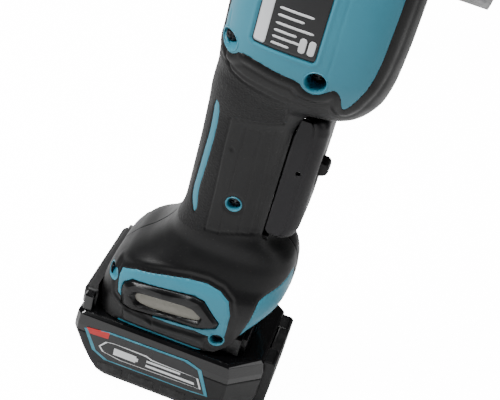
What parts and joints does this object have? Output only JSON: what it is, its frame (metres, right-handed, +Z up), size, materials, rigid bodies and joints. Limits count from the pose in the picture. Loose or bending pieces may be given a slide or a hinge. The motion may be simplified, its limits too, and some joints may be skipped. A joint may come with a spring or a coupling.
{
  "type": "angle grinder",
  "caption": "Cordless paddle-switch angle grinder standing on its slide-on battery pack, with gear head, wheel guard, side handle, paddle lever with lock-off tab and dust covers.",
  "frame": {"origin": "centre of the battery's flat base, which the tool stands on", "axes": "+Z up the tool from battery to gear head, +X towards the paddle and the wheel, -Y towards the nameplate side"},
  "size_m": [0.166, 0.2123, 0.403],
  "materials": {
    "teal_plastic": "satin moulded plastic",
    "black_rubber": "soft matte overmould",
    "label_film": "printed gloss film",
    "black_plastic": "fine moulded grain",
    "mesh_grey": "woven screen",
    "screw_steel": "black oxide",
    "lamination_steel": "stacked sheet edges",
    "copper_wire": "enamelled wire",
    "circuit_board": "board lacquer",
    "bearing_steel": "ground",
    "bright_steel": "turned and plated",
    "gear_steel": "hardened",
    "cast_aluminium": "die cast, bead blasted",
    "wire_cover": "silicone sleeve",
    "guard_paint": "powder coat",
    "charcoal_plastic": "satin moulded plastic",
    "gloss_black": "polished moulded plastic",
    "cell_wrap": "shrink sleeve"
  },
  "bodies": {
    "tool": {"right_housing": "teal_plastic", "left_housing": "teal_plastic", "right_overmould": "black_rubber", "left_overmould": "black_rubber", "nameplate": "label_film", "right_dust_cover": "black_plastic", "left_dust_cover": "black_plastic", "right_dust_mesh": "mesh_grey", "left_dust_mesh": "mesh_grey", "housing_screws": "screw_steel", "foot_bumper": "black_rubber", "motor_stator": "lamination_steel", "stator_windings": "copper_wire", "sensor_board": "circuit_board", "motor_bearings": "bearing_steel", "gear_housing": "cast_aluminium", "bearing_retainer": "bright_steel", "bearing_box": "cast_aluminium", "bearing_box_screws": "screw_steel", "spindle_bearings": "bearing_steel", "shaft_lock_spring": "bright_steel", "handle_bolt": "bright_steel", "handle_grip": "black_rubber", "paddle_pin": "bright_steel", "paddle_spring": "bright_steel", "switch_body": "black_plastic", "controller": "cast_aluminium", "terminal_block": "black_plastic", "wire_harness": "wire_cover"},
    "rotor": {"rotor_shaft": "bright_steel", "rotor_core": "lamination_steel", "fan": "black_plastic", "pinion": "gear_steel"},
    "spindle": {"spindle": "bright_steel", "bevel_gear": "gear_steel", "inner_flange": "bright_steel", "lock_nut": "gear_steel"},
    "guard": {"wheel_guard": "guard_paint", "guard_band": "bright_steel", "guard_screw": "screw_steel"},
    "shaft_lock": {"shaft_lock_button": "black_plastic"},
    "paddle": {"paddle_lever": "charcoal_plastic", "lock_off_pin": "bright_steel"},
    "lock_off": {"lock_off_lever": "gloss_black"},
    "plunger": {"switch_plunger": "black_plastic"},
    "battery": {"battery_case_lower": "black_plastic", "battery_case_upper": "gloss_black", "battery_cells": "cell_wrap", "battery_label": "label_film"},
    "battery_release": {"battery_button": "gloss_black"}
  },
  "joints": [
    {"name": "spindle_spin", "type": "hinge", "parent": "tool", "child": "spindle", "pos_m": [0.06, 0, 0.368], "axis": [1, 0, 0], "continuous": true},
    {"name": "rotor_spin", "type": "hinge", "parent": "tool", "child": "rotor", "pos_m": [0.03, 0, 0.29], "axis": [0, 0, 1], "continuous": true},
    {"name": "guard_turn", "type": "hinge", "parent": "tool", "child": "guard", "pos_m": [0.074, 0, 0.368], "axis": [1, 0, 0], "range_deg": [-120, 120]},
    {"name": "shaft_lock_press", "type": "slide", "parent": "tool", "child": "shaft_lock", "axis": [1, 0, 0], "range_m": [0, 0.004], "stiffness_N_per_m": 800, "springref_m": -0.003, "deforming": ["shaft_lock_spring"]},
    {"name": "paddle_press", "type": "hinge", "parent": "tool", "child": "paddle", "pos_m": [0.042, 0, 0.22], "axis": [0, 1, 0], "range_deg": [0, 4], "stiffness_Nm_per_rad": 2.5, "springref_deg": -2.86, "deforming": ["paddle_spring"]},
    {"name": "lock_off_tilt", "type": "hinge", "parent": "paddle", "child": "lock_off", "pos_m": [0.044, 0, 0.179], "axis": [0, 1, 0], "range_deg": [0, 15], "stiffness_Nm_per_rad": 0.1, "springref_deg": -11.46},
    {"name": "plunger_press", "type": "slide", "parent": "tool", "child": "plunger", "axis": [-1, 0, 0], "range_m": [0, 0.0045]},
    {"name": "battery_slide", "type": "slide", "parent": "tool", "child": "battery", "axis": [1, 0, 0], "range_m": [0, 0.095]},
    {"name": "battery_release_press", "type": "slide", "parent": "battery", "child": "battery_release", "axis": [0, 0, -1], "range_m": [0, 0.004], "stiffness_N_per_m": 600, "springref_m": -0.003}
  ],
  "couplings": [
    {"joint": "rotor_spin", "follows": "spindle_spin", "ratio": 3.5455},
    {"joint": "plunger_press", "follows": "paddle_press", "m_per_rad": 0.0605}
  ]
}
